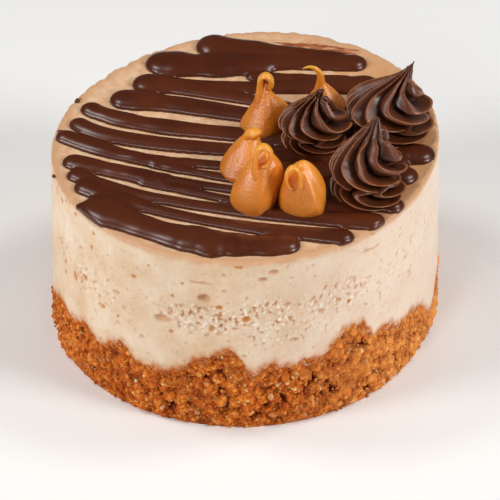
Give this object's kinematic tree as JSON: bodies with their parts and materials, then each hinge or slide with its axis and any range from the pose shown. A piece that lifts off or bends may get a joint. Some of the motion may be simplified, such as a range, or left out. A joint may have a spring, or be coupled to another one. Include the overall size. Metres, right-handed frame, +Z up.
{
  "type": "baked cheesecake",
  "caption": "Round baked cheesecake on a rough crumb base, its top drizzled with chocolate and set at one side with piped caramel drops and chocolate rosettes.",
  "frame": {"origin": "middle of the flat underside", "axes": "+Z up, +X towards the side that carries the piped toppings, -Y towards the front"},
  "size_m": [0.1567, 0.1623, 0.1117],
  "materials": {
    "biscuit_crumb": "coarse matte crumb",
    "cheese_filling": "smooth satin with small pits",
    "caramel": "soft satin caramel",
    "chocolate": "satin chocolate"
  },
  "bodies": {
    "root": {"crumb_base": "biscuit_crumb", "cheese_filling": "cheese_filling", "caramel_drop_1": "caramel", "caramel_drop_2": "caramel", "caramel_drop_3": "caramel", "caramel_drop_4": "caramel", "caramel_drop_5": "caramel", "chocolate_rosette_1": "chocolate", "chocolate_rosette_2": "chocolate", "chocolate_rosette_3": "chocolate"}
  },
  "joints": []
}
